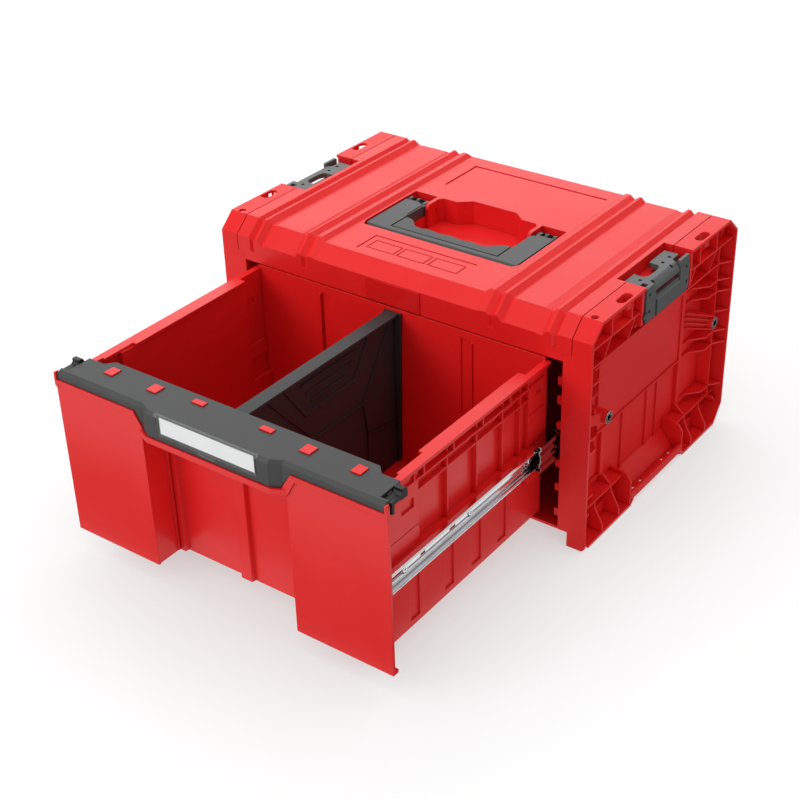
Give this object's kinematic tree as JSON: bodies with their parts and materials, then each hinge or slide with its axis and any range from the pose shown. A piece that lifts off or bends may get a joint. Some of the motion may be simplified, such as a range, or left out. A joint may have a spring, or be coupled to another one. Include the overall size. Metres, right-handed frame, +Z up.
{
  "type": "stackable drawer case",
  "caption": "Stackable red plastic case with a full width pull-out drawer on ball slides, a divider, a fold-up carry handle and side latches.",
  "frame": {"origin": "bottom centre of the whole object with its drawer open, on the floor plane", "axes": "+Z up, -Y towards the open drawer front, +X to the right when facing the drawer front from outside"},
  "size_m": [0.45, 0.578, 0.25],
  "materials": {
    "shell_red": "red injection moulded plastic, fine grain",
    "cap_red": "red injection moulded plastic, fine grain",
    "drawer_red": "red injection moulded plastic, satin",
    "label_red": "red printed plate, left bare",
    "dark_plastic": "dark grey glass filled plastic, satin",
    "black_plastic": "near black plastic",
    "grip_rubber": "soft dark grip",
    "zinc": "zinc plated sheet",
    "chrome": "polished",
    "clear": "clear label cover",
    "card": "plain paper card"
  },
  "bodies": {
    "case": {"case_shell": "shell_red", "end_cap_left": "cap_red", "end_cap_right": "cap_red", "header_plate": "label_red", "cap_screws": "zinc", "eyelets": "chrome", "handle_pins": "zinc", "latch_pins": "zinc", "slide_fixed_left": "zinc", "slide_fixed_right": "zinc", "slide_screws_case": "zinc"},
    "drawer": {"drawer_body": "drawer_red", "front_rail": "dark_plastic", "catch_pins": "zinc", "label_holder": "clear", "label_card": "card", "divider": "black_plastic", "slide_inner_left": "zinc", "slide_inner_right": "zinc", "slide_screws_drawer": "zinc"},
    "handle": {"carry_handle": "dark_plastic", "handle_grip": "grip_rubber"},
    "latch_left": {"side_latch_left": "dark_plastic"},
    "latch_right": {"side_latch_right": "dark_plastic"},
    "catch": {"catch_bar": "black_plastic"},
    "mid_left": {"slide_middle_left": "zinc"},
    "cage_outer_left": {"ball_cage_outer_left": "zinc", "balls_outer_left": "chrome"},
    "cage_inner_left": {"ball_cage_inner_left": "zinc", "balls_inner_left": "chrome"},
    "mid_right": {"slide_middle_right": "zinc"},
    "cage_outer_right": {"ball_cage_outer_right": "zinc", "balls_outer_right": "chrome"},
    "cage_inner_right": {"ball_cage_inner_right": "zinc", "balls_inner_right": "chrome"}
  },
  "joints": [
    {"name": "drawer_slide", "type": "slide", "parent": "case", "child": "drawer", "axis": [0, 1, 0], "range_m": [0, 0.272]},
    {"name": "handle_hinge", "type": "hinge", "parent": "case", "child": "handle", "pos_m": [0, 0.145, 0.2396], "axis": [-1, 0, 0], "range_deg": [0, 98]},
    {"name": "latch_right_hinge", "type": "hinge", "parent": "case", "child": "latch_right", "pos_m": [0.2202, 0.139, 0.212], "axis": [0, 1, 0], "range_deg": [0, 100]},
    {"name": "latch_left_hinge", "type": "hinge", "parent": "case", "child": "latch_left", "pos_m": [-0.2202, 0.139, 0.212], "axis": [0, -1, 0], "range_deg": [0, 100]},
    {"name": "catch_hinge", "type": "hinge", "parent": "drawer", "child": "catch", "pos_m": [0, -0.27, 0.1983], "axis": [-1, 0, 0], "range_deg": [0, 12], "stiffness_Nm_per_rad": 0.05, "springref_deg": -17.19},
    {"name": "slide_middle_left_travel", "type": "slide", "parent": "case", "child": "mid_left", "axis": [0, 1, 0], "range_m": [0, 0.03808]},
    {"name": "ball_cage_outer_left_travel", "type": "slide", "parent": "case", "child": "cage_outer_left", "axis": [0, 1, 0], "range_m": [0, 0.01904]},
    {"name": "ball_cage_inner_left_travel", "type": "slide", "parent": "case", "child": "cage_inner_left", "axis": [0, 1, 0], "range_m": [0, 0.15504]},
    {"name": "slide_middle_right_travel", "type": "slide", "parent": "case", "child": "mid_right", "axis": [0, 1, 0], "range_m": [0, 0.03808]},
    {"name": "ball_cage_outer_right_travel", "type": "slide", "parent": "case", "child": "cage_outer_right", "axis": [0, 1, 0], "range_m": [0, 0.01904]},
    {"name": "ball_cage_inner_right_travel", "type": "slide", "parent": "case", "child": "cage_inner_right", "axis": [0, 1, 0], "range_m": [0, 0.15504]}
  ],
  "couplings": [
    {"joint": "slide_middle_left_travel", "follows": "drawer_slide", "ratio": 0.14},
    {"joint": "ball_cage_outer_left_travel", "follows": "drawer_slide", "ratio": 0.07},
    {"joint": "ball_cage_inner_left_travel", "follows": "drawer_slide", "ratio": 0.57},
    {"joint": "slide_middle_right_travel", "follows": "drawer_slide", "ratio": 0.14},
    {"joint": "ball_cage_outer_right_travel", "follows": "drawer_slide", "ratio": 0.07},
    {"joint": "ball_cage_inner_right_travel", "follows": "drawer_slide", "ratio": 0.57}
  ]
}
